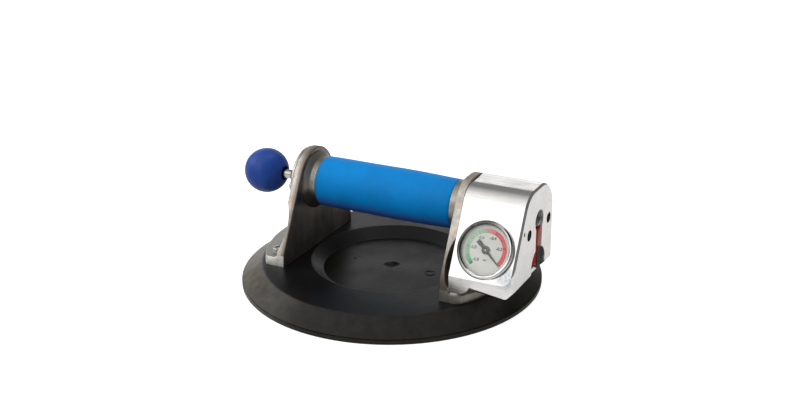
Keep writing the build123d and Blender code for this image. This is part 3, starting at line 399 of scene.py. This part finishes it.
def makeBlockAluminium():
    look = blockLook
    material, tree, shader, where = newMaterial("milledBlockAluminium")
    spot = where.outputs["Object"]
    faceX, faceY, faceZ = splitAxes(tree, where.outputs["Normal"])
    y, z = splitAxes(tree, spot)[1:]
    milled = place(tree, workedLines, Vector=spot, Stretch=look["milled"])
    patch = mottle(tree, spot, look["patchScale"])
    speckle = mottle(tree, spot, *look["speckle"])
    tone = addShares(tree, milled["Mask"], patch, look["toneShares"])
    body = blendColour(tree, tone, look["grey"], look["bright"])
    body = blendColour(tree, calc(tree, "MULTIPLY", speckle, look["coolShare"]), body, look["cool"])
    # a dull smudge on the front, low beside the gauge
    reach = vectorCalc(tree, "DISTANCE", spot, look["smudgeSpot"])["Value"]
    smudge = allOf(
        tree, spread(tree, reach, *look["smudgeSpan"], 1.0, 0.0),
        calc(tree, "LESS_THAN", faceY, look["smudgeFacing"]), between(tree, speckle, *look["smudgeShares"]),
    )
    body = blendColour(tree, smudge, body, look["smudge"])
    # the walls of the lever's slot and of the hole above it are left as cut, duller than the faces
    inSlot = allOf(
        tree, calc(tree, "LESS_THAN", calc(tree, "ABSOLUTE", y), look["slotHalf"]),
        calc(tree, "LESS_THAN", z, look["slotTop"]),
        calc(tree, "LESS_THAN", calc(tree, "ABSOLUTE", faceX), look["slotFacing"]),
    )
    rough = between(tree, tone, look["rough"][1], look["rough"][0])
    rough = between(tree, inSlot, rough, look["slotRough"])
    # painted reflection: the broken edge round the upper end face is painted darker and made rougher, for the dark room
    # it reflects
    edgeReflectionShade = allOf(
        tree, calc(tree, "GREATER_THAN", faceX, look["edgeReflectionLow"]),
        calc(tree, "LESS_THAN", faceX, look["edgeReflectionHigh"]), calc(tree, "GREATER_THAN", faceZ, look["edgeReflectionUp"]),
    )
    feed(tree, shader.inputs["Base Color"], blendColour(tree, edgeReflectionShade, body, look["edgeReflectionShade"]))
    feed(tree, shader.inputs["Roughness"], between(tree, edgeReflectionShade, rough, look["edgeReflectionRough"]))
    shader.inputs["Metallic"].default_value = 1.0
    addBump(tree, shader, milled["Height"], look["bump"])
    return material


# grip: bright blue rubber with a fine matte grain, with painted shade underneath
gripLook = {
    "deep": (0.001, 0.285, 0.80), "blue": (0.002, 0.350, 0.95), "under": (0.060, 0.150, 0.60),
    "underFacing": (-0.25, -0.75), "patchScale": 40.0, "grainScale": 1300.0, "pitShare": 0.35,
    "rough": (0.50, 0.64), "specular": 0.15, "bump": 0.30,
}


def makeGripRubber():
    look = gripLook
    material, tree, shader, where = newMaterial("blueGripRubber")
    spot = where.outputs["Object"]
    patch = mottle(tree, spot, look["patchScale"])
    skin = place(tree, fineGrain, Vector=spot, Scale=look["grainScale"])
    worn = calc(tree, "SUBTRACT", patch, calc(tree, "MULTIPLY", skin["Pits"], look["pitShare"]), clamp=True)
    # painted shade: faces turned downward are painted a darker, purpler blue
    belowShade = spread(tree, splitAxes(tree, where.outputs["Normal"])[2], *look["underFacing"])
    body = blendColour(tree, worn, look["deep"], look["blue"])
    feed(tree, shader.inputs["Base Color"], blendColour(tree, belowShade, body, look["under"]))
    feed(tree, shader.inputs["Roughness"], between(tree, patch, *look["rough"]))
    shader.inputs["Specular IOR Level"].default_value = look["specular"]
    addBump(tree, shader, skin["Height"], look["bump"])
    return material


# end cover: bright blanked steel, with a dark disc round the rod's axis where the rod guide screws in
coverLook = {
    "grey": (0.46, 0.455, 0.43), "bright": (0.72, 0.71, 0.68), "toneShares": (0.5, 0.5),
    "hub": (0.07, 0.072, 0.066), "hubLight": (0.15, 0.15, 0.14), "hubRadius": 0.0092, "axisHeight": 0.0624,
    "drawn": (60.0, 700.0, 50.0), "patchScale": 60.0, "rough": (0.26, 0.40), "bump": 0.06,
}


def makeCoverSteel():
    look = coverLook
    material, tree, shader, where = newMaterial("blankedCoverSteel")
    spot = where.outputs["Object"]
    y, z = splitAxes(tree, spot)[1:]
    rise = calc(tree, "SUBTRACT", z, look["axisHeight"])
    hub = calc(tree, "LESS_THAN", addSquares(tree, y, rise), look["hubRadius"] ** 2)
    drawn = place(tree, workedLines, Vector=spot, Stretch=look["drawn"])
    patch = mottle(tree, spot, look["patchScale"])
    tone = addShares(tree, patch, drawn["Mask"], look["toneShares"])
    plate = blendColour(tree, tone, look["grey"], look["bright"])
    dark = blendColour(tree, patch, look["hub"], look["hubLight"])
    feed(tree, shader.inputs["Base Color"], blendColour(tree, hub, plate, dark))
    feed(tree, shader.inputs["Roughness"], between(tree, tone, look["rough"][1], look["rough"][0]))
    shader.inputs["Metallic"].default_value = 1.0
    addBump(tree, shader, drawn["Height"], look["bump"])
    return material


# bezel: chrome with a painted dark reflection toward the upper left
bezelLook = {
    "bright": (0.66, 0.66, 0.64), "darkReflection": (0.055, 0.056, 0.052), "rough": (0.08, 0.16),
    "toward": (-0.8, 0.277, 0.532), "middle": -0.0528, "reach": 0.011,
    "patchScale": 150.0, "patchShare": 0.12, "grainScale": 2600.0, "bump": 0.03,
}


def makeBezelChrome():
    look = bezelLook
    material, tree, shader, where = newMaterial("chromedBezel")
    spot = where.outputs["Object"]
    along = vectorCalc(tree, "DOT_PRODUCT", spot, look["toward"])["Value"]
    # painted reflection: the chrome is painted dark toward the upper left
    darkReflectionMask = spread(tree, along, look["middle"] - look["reach"], look["middle"] + look["reach"])
    patch = mottle(tree, spot, look["patchScale"])
    darkReflectionMask = calc(tree, "SUBTRACT", darkReflectionMask, calc(tree, "MULTIPLY", patch, look["patchShare"]), clamp=True)
    feed(tree, shader.inputs["Base Color"], blendColour(tree, darkReflectionMask, look["bright"], look["darkReflection"]))
    feed(tree, shader.inputs["Roughness"], between(tree, patch, *look["rough"]))
    shader.inputs["Metallic"].default_value = 1.0
    skin = place(tree, fineGrain, Vector=spot, Scale=look["grainScale"])
    addBump(tree, shader, skin["Height"], look["bump"])
    return material


# gauge window: clear pane with faint smears
glassLook = {
    "clear": (1.0, 1.0, 1.0), "smeared": (0.96, 0.97, 0.97), "smear": (110.0, 0.45, 0.8),
    "rough": (0.0, 0.06), "ior": 1.45,
}


def makeWindowGlass():
    look = glassLook
    material, tree, shader, where = newMaterial("gaugeWindowGlass")
    smear = mottle(tree, where.outputs["Object"], *look["smear"])
    feed(tree, shader.inputs["Base Color"], blendColour(tree, smear, look["clear"], look["smeared"]))
    feed(tree, shader.inputs["Roughness"], between(tree, smear, *look["rough"]))
    shader.inputs["Transmission Weight"].default_value = 1.0
    shader.inputs["IOR"].default_value = look["ior"]
    # lamps shine straight through the pane onto the dial
    clear = addNode(tree, "ShaderNodeBsdfTransparent")
    path = addNode(tree, "ShaderNodeLightPath")
    pane = addNode(tree, "ShaderNodeMixShader")
    tree.links.new(path.outputs["Is Shadow Ray"], pane.inputs[0])
    tree.links.new(shader.outputs[0], pane.inputs[1])
    tree.links.new(clear.outputs[0], pane.inputs[2])
    tree.links.new(pane.outputs[0], tree.nodes["Material Output"].inputs["Surface"])
    return material


# one finish for each material slot of the record: name, dark tone, light tone, roughness, metal
finishes = {
    "disc_rubber": makeDiscRubber(),
    "bracket_steel": makeBracketSteel(),
    "weld_steel": makeWeldSteel(),
    "block_aluminium": makeBlockAluminium(),
    "grip_rubber": makeGripRubber(),
    "gauge_glass": makeWindowGlass(),
    "plate_steel": plainFinish(
        "platedBackingSteel", (0.36, 0.36, 0.37), (0.52, 0.52, 0.50), (0.34, 0.48), 1.0,
        lines=(40.0, 700.0, 40.0),
    ),
    "pump_tube": plainFinish(
        "honedPumpTube", (0.52, 0.52, 0.53), (0.70, 0.70, 0.69), (0.18, 0.30), 1.0,
        lines=(1800.0, 40.0, 40.0),
    ),
    "seal_rubber": plainFinish(
        "blackSealRubber", (0.010, 0.010, 0.010), (0.022, 0.022, 0.021), (0.45, 0.60),
        grain=1800.0,
    ),
    "cover_steel": makeCoverSteel(),
    "screw_zinc": plainFinish(
        "zincScrewHeads", (0.40, 0.41, 0.38), (0.66, 0.67, 0.63), (0.20, 0.34), 1.0,
        mottleScale=260.0, grain=2600.0, bump=0.06,
    ),
    "rod_steel": plainFinish(
        "groundRodSteel", (0.42, 0.40, 0.365), (0.62, 0.60, 0.56), (0.14, 0.26), 1.0,
        lines=(2600.0, 40.0, 40.0), bump=0.05,
    ),
    "piston_plastic": plainFinish("greyPistonPlastic", (0.10, 0.10, 0.11), (0.16, 0.16, 0.17), (0.35, 0.50)),
    "knob_plastic": plainFinish(
        "violetKnobPlastic", (0.011, 0.062, 0.350), (0.018, 0.092, 0.480), (0.42, 0.54),
        mottleScale=50.0, grain=1700.0, bump=0.14, specular=0.35,
    ),
    "brass": plainFinish(
        "turnedBrass", (0.52, 0.35, 0.12), (0.76, 0.55, 0.24), (0.22, 0.36), 1.0,
        mottleScale=220.0, grain=2400.0, bump=0.06,
    ),
    "lever_red": plainFinish(
        "redLeverPad", (0.68, 0.012, 0.012), (0.86, 0.026, 0.024), (0.62, 0.74),
        mottleScale=160.0, specular=0.12,
    ),
    "lever_steel": plainFinish(
        "darkLeverSteel", (0.30, 0.30, 0.31), (0.48, 0.48, 0.48), (0.28, 0.42), 1.0,
        mottleScale=180.0, grain=2200.0, bump=0.08,
    ),
    "pin_steel": plainFinish(
        "brightPinSteel", (0.62, 0.62, 0.61), (0.86, 0.86, 0.85), (0.14, 0.26), 1.0,
        mottleScale=240.0, grain=2600.0, bump=0.05,
    ),
    "felt": plainFinish(
        "blackFilterFelt", (0.070, 0.066, 0.063), (0.190, 0.180, 0.172), (0.85, 0.98),
        mottleScale=500.0, grain=1100.0, bump=0.8,
    ),
    "spring_steel": plainFinish(
        "springWire", (0.40, 0.40, 0.40), (0.62, 0.62, 0.61), (0.20, 0.34), 1.0,
        mottleScale=300.0,
    ),
    "gauge_chrome": makeBezelChrome(),
    "dial_white": plainFinish(
        "paleDialEnamel", (0.74, 0.75, 0.68), (0.82, 0.83, 0.76), (0.40, 0.52),
        mottleScale=120.0, grain=2200.0, bump=0.04,
    ),
    "needle_black": plainFinish(
        "blackNeedlePaint", (0.010, 0.010, 0.010), (0.030, 0.030, 0.030), (0.36, 0.50),
        mottleScale=260.0, grain=2200.0, bump=0.05,
    ),
}
for part in frame["record"]["subparts"]:
    mesh = nodes[part["node"]].data
    mesh.materials.clear()
    mesh.materials.append(finishes[part["material_slot"]])
print("finishes placed:", len(finishes))


# pieces made here

def newPiece(name, shape, material):
    mesh = bpy.data.meshes.new(name)
    shape.to_mesh(mesh)
    shape.free()
    mesh.materials.append(material)
    piece = bpy.data.objects.new(name, mesh)
    bpy.context.scene.collection.objects.link(piece)
    return piece


def keepPiece(name, shape, material, body):
    piece = newPiece(name, shape, material)
    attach(piece, body)
    return piece


def spinProfile(points, centre, axis, steps):
    # a few points joined in order, then swept full circle round the axis
    shape = bmesh.new()
    corners = [shape.verts.new(point) for point in points]
    edges = [shape.edges.new((a, b)) for a, b in zip(corners, corners[1:] + corners[:1])]
    bmesh.ops.spin(
        shape, geom=corners + edges, cent=centre, axis=axis, dvec=(0, 0, 0), angle=2 * pi, steps=steps,
        use_merge=True, use_normal_flip=False, use_duplicate=False,
    )
    bmesh.ops.remove_doubles(shape, verts=shape.verts, dist=mergeGap)
    bmesh.ops.recalc_face_normals(shape, faces=shape.faces)
    return shape


# grip sleeve: pushed on by hand, so it swells a little mid length and draws in near the right end
gripShape = {
    "axisHeight": 0.0624, "bore": 0.01505, "steps": 96,
    "outline": [
        # place along the handle, radius
        (-0.0509, 0.0166), (-0.0507, 0.0172), (-0.0499, 0.01752), (-0.044, 0.01764), (-0.032, 0.01764),
        (-0.018, 0.01760), (-0.004, 0.01766), (0.010, 0.01775), (0.022, 0.01762), (0.033, 0.01735),
        (0.0415, 0.01708), (0.0482, 0.01695), (0.0500, 0.01688), (0.0506, 0.0167), (0.0508, 0.0162),
    ],
}


def makeGrip():
    s = gripShape
    first, last = s["outline"][0][0], s["outline"][-1][0]
    points = [(first, 0, s["axisHeight"] + s["bore"])]
    points += [(x, 0, s["axisHeight"] + r) for x, r in s["outline"]]
    points.append((last, 0, s["axisHeight"] + s["bore"]))
    shape = spinProfile(points, (0, 0, s["axisHeight"]), (1, 0, 0), s["steps"])
    for face in shape.faces:
        face.smooth = True
    piece = keepPiece("gripSleeve", shape, finishes["grip_rubber"], "frame")
    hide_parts("grip_sleeve")


makeGrip()
print("grip made")


# springs: each coil is a copy of its spring from the model, with its points merged
springEnds = {
    # piece: node, body that pushes, place of the held end
    "ventSpringCoil": ("vent_spring", "vent_valve", 0.0825),
    "checkSpringCoil": ("check_valve_spring", "check_ball", 0.067),
}


def makeSpring(name, node):
    shape = bmesh.new()
    shape.from_mesh(nodes[node].data)
    bmesh.ops.remove_doubles(shape, verts=shape.verts, dist=mergeGap)
    piece = newPiece(name, shape, finishes["spring_steel"])
    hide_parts(node)
    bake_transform(piece)


for name, (node, body, heldEnd) in springEnds.items():
    makeSpring(name, node)
print("springs made")


# dial print: red and green bands, scale marks, numbers and the unit, in millimetres on the gauge's own axes
dialShape = {
    "centre": (0.0867, -0.0368746, 0.0502545), "up": (0.0, 0.461749, 0.887011), "out": (0.0, -0.887011, 0.461749),
    "turn": 5.0, "level": -0.38, "thick": 0.03, "start": -45.0, "sweep": 270.0,
    "inner": 11.2, "outer": 14.1, "stepDegrees": 2, "leastSteps": 6, "bandGap": 1e-5,
    "meetStart": 84.0, "meetStop": 108.0, "meetInner": 85.0, "meetOuter": 106.5,
    "marks": 10, "longMark": (2.0, 0.62), "shortMark": (1.3, 0.48), "markInset": 0.25,
    "numbers": 5, "numberSize": 2.75, "numberRadius": 8.9, "numberBold": 0.11,
    "unitSize": 2.1, "unitDrop": 6.3, "unitBold": 0.04, "letterSteps": 3, "letterGap": 1e-4,
}
printLook = {
    "red": ((0.80, 0.008, 0.020), (0.92, 0.022, 0.034)), "green": ((0.003, 0.42, 0.085), (0.015, 0.55, 0.15)),
    "ink": ((0.008, 0.008, 0.008), (0.022, 0.022, 0.022)),
}
inkLook = {
    "toward": (-0.8, 0.277, 0.532), "paleSpan": (0.002, 0.0120), "paleShare": 0.50, "pale": (0.92, 0.94, 0.88),
    "patchScale": 200.0, "grainScale": 2400.0, "rough": (0.50, 0.38), "bump": 0.04,
}


def makeDialInk(name, dark, light):
    # printed ink, with a painted reflection of the glass that makes it paler toward the upper left of the dial
    look = inkLook
    material, tree, shader, where = newMaterial(name)
    spot = where.outputs["Object"]
    patch = mottle(tree, spot, look["patchScale"])
    reach = vectorCalc(tree, "DOT_PRODUCT", spot, look["toward"])["Value"]
    middle = Vector(dialShape["centre"]).dot(Vector(look["toward"]))
    start, end = look["paleSpan"]
    pale = spread(tree, reach, middle + start, middle + end, 0.0, look["paleShare"])
    ink = blendColour(tree, patch, dark, light)
    feed(tree, shader.inputs["Base Color"], blendColour(tree, pale, ink, look["pale"]))
    feed(tree, shader.inputs["Roughness"], between(tree, patch, *look["rough"]))
    skin = place(tree, fineGrain, Vector=spot, Scale=look["grainScale"])
    addBump(tree, shader, skin["Height"], look["bump"])
    return material


printPaint = {key: makeDialInk(key + "DialInk", dark, light) for key, (dark, light) in printLook.items()}


def dialPlace():
    s = dialShape
    out, up = Vector(s["out"]), Vector(s["up"])
    across = up.cross(out)
    turn = Matrix((across, up, out)).transposed().to_4x4()
    turned = turn @ Matrix.Rotation(radians(s["turn"]), 4, "Z")
    return Matrix.Translation(Vector(s["centre"])) @ turned @ Matrix.Scale(mm, 4)


def polar(radius, degrees, height=0.0):
    return Vector((radius * cos(radians(degrees)), radius * sin(radians(degrees)), height))


def bandStrip(start, end):
    s = dialShape
    shape = bmesh.new()
    ends = [shape.verts.new(polar(r, start, s["level"])) for r in (s["inner"], s["outer"])]
    edge = shape.edges.new(ends)
    bmesh.ops.spin(
        shape, geom=ends + [edge], cent=(0, 0, 0), axis=(0, 0, 1), dvec=(0, 0, 0), angle=radians(end - start),
        steps=max(s["leastSteps"], int((end - start) / s["stepDegrees"])),
        use_merge=False, use_normal_flip=False, use_duplicate=False,
    )
    bmesh.ops.recalc_face_normals(shape, faces=shape.faces)
    return shape


def makeBand(name, start, end, keepSide, paint):
    # the plain run, then the wedge where one colour runs out into the other
    s = dialShape
    near = polar(s["inner"], s["meetInner"], s["level"])
    far = polar(s["outer"], s["meetOuter"], s["level"])
    cut = (far - near).cross(Vector((0, 0, 1))) * keepSide
    band = bandStrip(start, end)
    wedge = bandStrip(s["meetStart"], s["meetStop"])
    bmesh.ops.bisect_plane(
        wedge, geom=wedge.verts[:] + wedge.edges[:] + wedge.faces[:], plane_co=near, plane_no=cut, clear_outer=True,
    )
    joint = bpy.data.meshes.new(name + "Joint")
    wedge.to_mesh(joint)
    wedge.free()
    band.from_mesh(joint)
    bmesh.ops.remove_doubles(band, verts=band.verts, dist=s["bandGap"])
    for face in band.faces:
        if face.normal.z < 0:
            face.normal_flip()
    bmesh.ops.solidify(band, geom=band.faces[:], thickness=s["thick"])
    bmesh.ops.transform(band, matrix=dialPlace(), verts=band.verts)
    bmesh.ops.recalc_face_normals(band, faces=band.faces)
    keepPiece(name, band, printPaint[paint], "frame")


def makeMarks():
    # long and short marks in turn
    s = dialShape
    shape = bmesh.new()
    for count in range(s["marks"] + 1):
        angle = s["start"] + s["sweep"] * count / s["marks"]
        length, width = s["longMark"] if count % 2 == 0 else s["shortMark"]
        middle = s["inner"] + s["markInset"] + length / 2
        mark = bmesh.ops.create_cube(shape, size=1.0)["verts"]
        bmesh.ops.scale(shape, vec=(length, width, s["thick"]), verts=mark)
        bmesh.ops.translate(shape, vec=(middle, 0, s["level"] + s["thick"]), verts=mark)
        bmesh.ops.rotate(shape, cent=(0, 0, 0), matrix=Matrix.Rotation(radians(angle), 3, "Z"), verts=mark)
    bmesh.ops.transform(shape, matrix=dialPlace(), verts=shape.verts)
    keepPiece("dialMarks", shape, printPaint["ink"], "frame")


def makeWord(name, words, size, bold, spot):
    s = dialShape
    text = bpy.data.curves.new(name, "FONT")
    text.body = words
    text.size = size
    text.extrude = s["thick"] / 2
    text.offset = bold
    text.align_x = "CENTER"
    text.align_y = "CENTER"
    text.resolution_u = s["letterSteps"]
    drawn = bpy.data.objects.new(name + "Text", text)
    bpy.context.scene.collection.objects.link(drawn)
    bpy.context.view_layer.update()
    mesh = bpy.data.meshes.new_from_object(drawn)
    bpy.data.objects.remove(drawn)
    shape = bmesh.new()
    shape.from_mesh(mesh)
    bmesh.ops.remove_doubles(shape, verts=shape.verts, dist=s["letterGap"])
    bmesh.ops.recalc_face_normals(shape, faces=shape.faces)
    bmesh.ops.translate(shape, vec=(spot[0], spot[1], s["level"]), verts=shape.verts)
    bmesh.ops.transform(shape, matrix=dialPlace(), verts=shape.verts)
    keepPiece(name, shape, printPaint["ink"], "frame")


def makeDialPrint():
    s = dialShape
    makeBand("dialRedBand", s["start"], s["meetStart"], -1, "red")
    makeBand("dialGreenBand", s["meetStop"], s["start"] + s["sweep"], 1, "green")
    makeMarks()
    for step in range(1, s["numbers"] + 1):
        spot = polar(s["numberRadius"], s["start"] + s["sweep"] * step / s["numbers"])
        makeWord("dialNumber%d" % step, "-%.1f" % (step / s["numbers"]), s["numberSize"], s["numberBold"], spot)
    makeWord("dialUnit", "bar", s["unitSize"], s["unitBold"], (0.0, -s["unitDrop"]))


makeDialPrint()
print("dial print made")


# floor: pale paper that shows white, in the picture and in reflections, and sends little light up at the part
floorLook = {
    "size": 12.0, "drop": 0.0002, "dark": (0.74, 0.74, 0.74), "light": (0.78, 0.78, 0.78), "patchScale": 3.0,
    "bounce": (0.22, 0.22, 0.22), "rough": 0.9, "glow": 0.85, "mirrorShare": 0.424,
    "farSpan": (0.30, 0.50), "rightSpan": (0.0, 0.25),
}


def makeFloor():
    look = floorLook
    shape = bmesh.new()
    bmesh.ops.create_grid(shape, x_segments=1, y_segments=1, size=look["size"] / 2)
    bmesh.ops.translate(shape, vec=(0, 0, -look["drop"]), verts=shape.verts)
    material, tree, shader, where = newMaterial("paleFloorPaper")
    spot = where.outputs["Object"]
    paper = blendColour(tree, mottle(tree, spot, look["patchScale"]), look["dark"], look["light"])
    path = addNode(tree, "ShaderNodeLightPath")
    # reflections of the paper far off on the right are dim
    far = spread(tree, vectorCalc(tree, "LENGTH", spot)["Value"], *look["farSpan"])
    far = calc(tree, "MULTIPLY", far, spread(tree, splitAxes(tree, spot)[0], *look["rightSpan"]))
    dim = calc(tree, "MULTIPLY", path.outputs["Is Glossy Ray"], far)
    dim = calc(tree, "MAXIMUM", dim, path.outputs["Is Diffuse Ray"])
    feed(tree, shader.inputs["Base Color"], blendColour(tree, dim, paper, look["bounce"]))
    shader.inputs["Roughness"].default_value = look["rough"]
    shader.inputs["Emission Strength"].default_value = look["glow"]
    mirrored = calc(tree, "MULTIPLY", path.outputs["Is Glossy Ray"], between(tree, far, look["mirrorShare"], 0.0))
    feed(tree, shader.inputs["Emission Color"], calc(tree, "MAXIMUM", path.outputs["Is Camera Ray"], mirrored))
    floor = newPiece("paleFloor", shape, material)


# room: bright overhead and in front on the left, dark over the back, with a little low light from the right
roomLook = {
    "leftSpan": (-0.1, 0.45), "skyLeft": 0.22, "frontSpan": (0.40, -0.35), "skyFront": 0.9, "highSpan": (0.40, 0.75),
    "lowSpan": (0.25, 0.65), "skyRight": 0.30,
}


def makeRoom():
    look = roomLook
    world = bpy.data.worlds.new("softRoom")
    bpy.context.scene.world = world
    world.use_nodes = True
    room = world.node_tree
    sky = room.nodes["Background"]
    sky.inputs["Color"].default_value = (1, 1, 1, 1)
    x, y, z = splitAxes(room, addNode(room, "ShaderNodeTexCoord").outputs["Generated"])
    left = spread(room, x, *look["leftSpan"], 1.0, 0.0)
    front = spread(room, y, *look["frontSpan"], 0.0, look["skyFront"])
    front = calc(room, "MULTIPLY", front, spread(room, z, *look["highSpan"]))
    low = spread(room, z, *look["lowSpan"], look["skyRight"], 0.0)
    lift = calc(room, "ADD", calc(room, "MULTIPLY", left, look["skyLeft"]), calc(room, "MULTIPLY", left, front))
    rightSide = calc(room, "MULTIPLY", calc(room, "SUBTRACT", 1.0, left), low)
    feed(room, sky.inputs["Strength"], calc(room, "ADD", lift, rightSide))


# soft boxes: the fill on the right shows on dull pieces only, not as a reflection
lampLook = {
    "aim": (0.0, 0.0, 0.05),
    "boxes": [
        # name, place, width, height, brightness, shows in reflections
        ("rightFill", (1.45, -0.55, 0.40), 0.8, 0.8, 1.1, False),
        ("frontBox", (-0.66, -1.40, 0.94), 1.2, 1.2, 1.14, True),
        ("backSweep", (-0.75, 1.25, 0.42), 1.6, 0.65, 0.92, True),
        ("sideBox", (-1.60, -0.25, 0.90), 0.9, 0.9, 2.6, True),
        ("topBox", (0.15, 0.45, 1.60), 0.7, 0.7, 2.5, True),
    ],
}


def makeLamps():
    for name, spot, width, height, brightness, mirrored in lampLook["boxes"]:
        lamp = bpy.data.lights.new(name, "AREA")
        lamp.shape = "RECTANGLE"
        lamp.size = width
        lamp.size_y = height
        lamp.energy = brightness * pi * width * height
        holder = bpy.data.objects.new(name, lamp)
        holder.location = spot
        holder.visible_glossy = mirrored
        holder.rotation_mode = "QUATERNION"
        holder.rotation_quaternion = (Vector(lampLook["aim"]) - Vector(spot)).to_track_quat("-Z", "Y")
        bpy.context.scene.collection.objects.link(holder)


# camera at the photograph's viewing angle
cameraView = {
    "place": (0.375153, -0.723784, 0.381310), "lookAt": (-0.004161, 0.021290, 0.048166), "roll": -0.425,
    "lens": 57.333, "sensor": 36.0, "clip": (0.01, 50.0),
}


def makeCamera():
    s = cameraView
    lens = bpy.data.cameras.new("photoCamera")
    lens.sensor_fit = "HORIZONTAL"
    lens.sensor_width = s["sensor"]
    lens.lens = s["lens"]
    lens.clip_start, lens.clip_end = s["clip"]
    camera = bpy.data.objects.new("photoCamera", lens)
    camera.location = s["place"]
    camera.rotation_mode = "QUATERNION"
    facing = (Vector(s["lookAt"]) - Vector(s["place"])).to_track_quat("-Z", "Y")
    camera.rotation_quaternion = facing @ Quaternion((0, 0, 1), radians(s["roll"]))
    scene = bpy.context.scene
    scene.collection.objects.link(camera)
    scene.camera = camera
    scene.view_settings.view_transform = "Standard"
    scene.view_settings.look = "None"


makeFloor()
makeRoom()
makeLamps()
makeCamera()
print("studio made")
